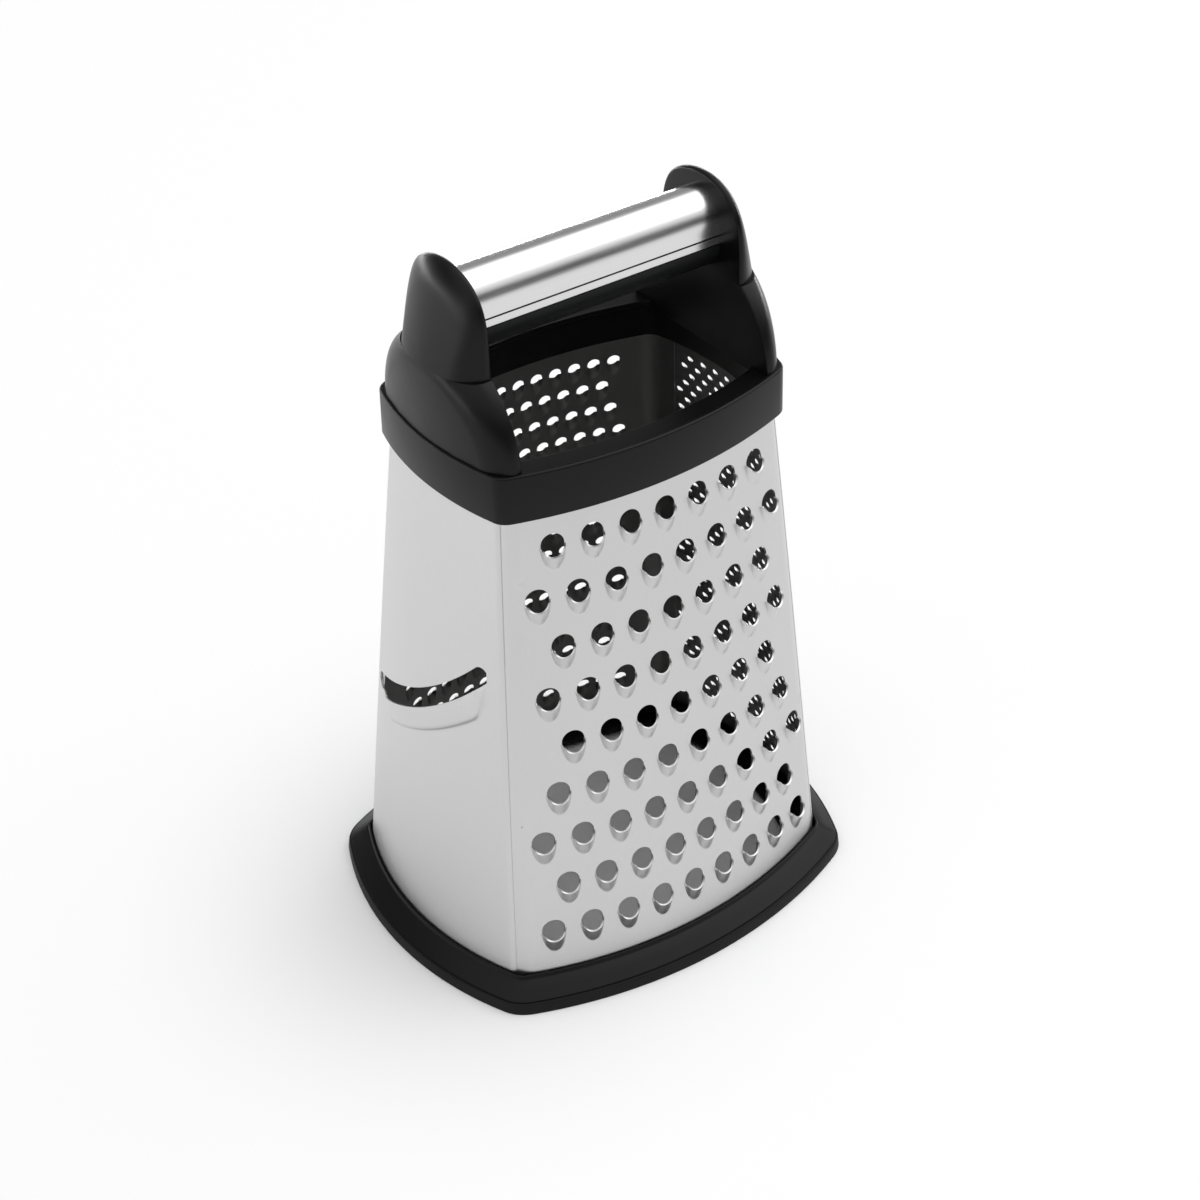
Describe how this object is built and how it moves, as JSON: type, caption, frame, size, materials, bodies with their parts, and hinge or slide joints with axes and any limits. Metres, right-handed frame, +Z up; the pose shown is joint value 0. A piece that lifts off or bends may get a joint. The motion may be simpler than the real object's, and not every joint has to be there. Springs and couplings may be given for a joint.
{
  "type": "box grater",
  "caption": "Tapering four-sided sheet steel box grater with coarse, medium, fine and slicing faces, a black moulded rim and foot, and a steel-clad bar handle between two uprights.",
  "frame": {"origin": "centre of the foot, on the plane that the grater stands on", "axes": "+Z up, X along the handle with the slicing face at -X, the coarse face at -Y"},
  "size_m": [0.1684, 0.142, 0.254],
  "materials": {
    "satin_steel": "satin stainless sheet",
    "black_plastic": "semi-gloss black moulding",
    "dark_core": "matt black",
    "screw_steel": "bright plated",
    "foot_rubber": "matt dark grey elastomer"
  },
  "bodies": {
    "root": {"coarse_panel": "satin_steel", "medium_panel": "satin_steel", "slicing_panel": "satin_steel", "fine_panel": "satin_steel", "top_frame": "black_plastic", "left_ear_cap": "black_plastic", "right_ear_cap": "black_plastic", "handle_shell": "satin_steel", "handle_core": "dark_core", "ear_screws": "screw_steel", "base_frame": "black_plastic", "foot_ring": "foot_rubber"}
  },
  "joints": []
}
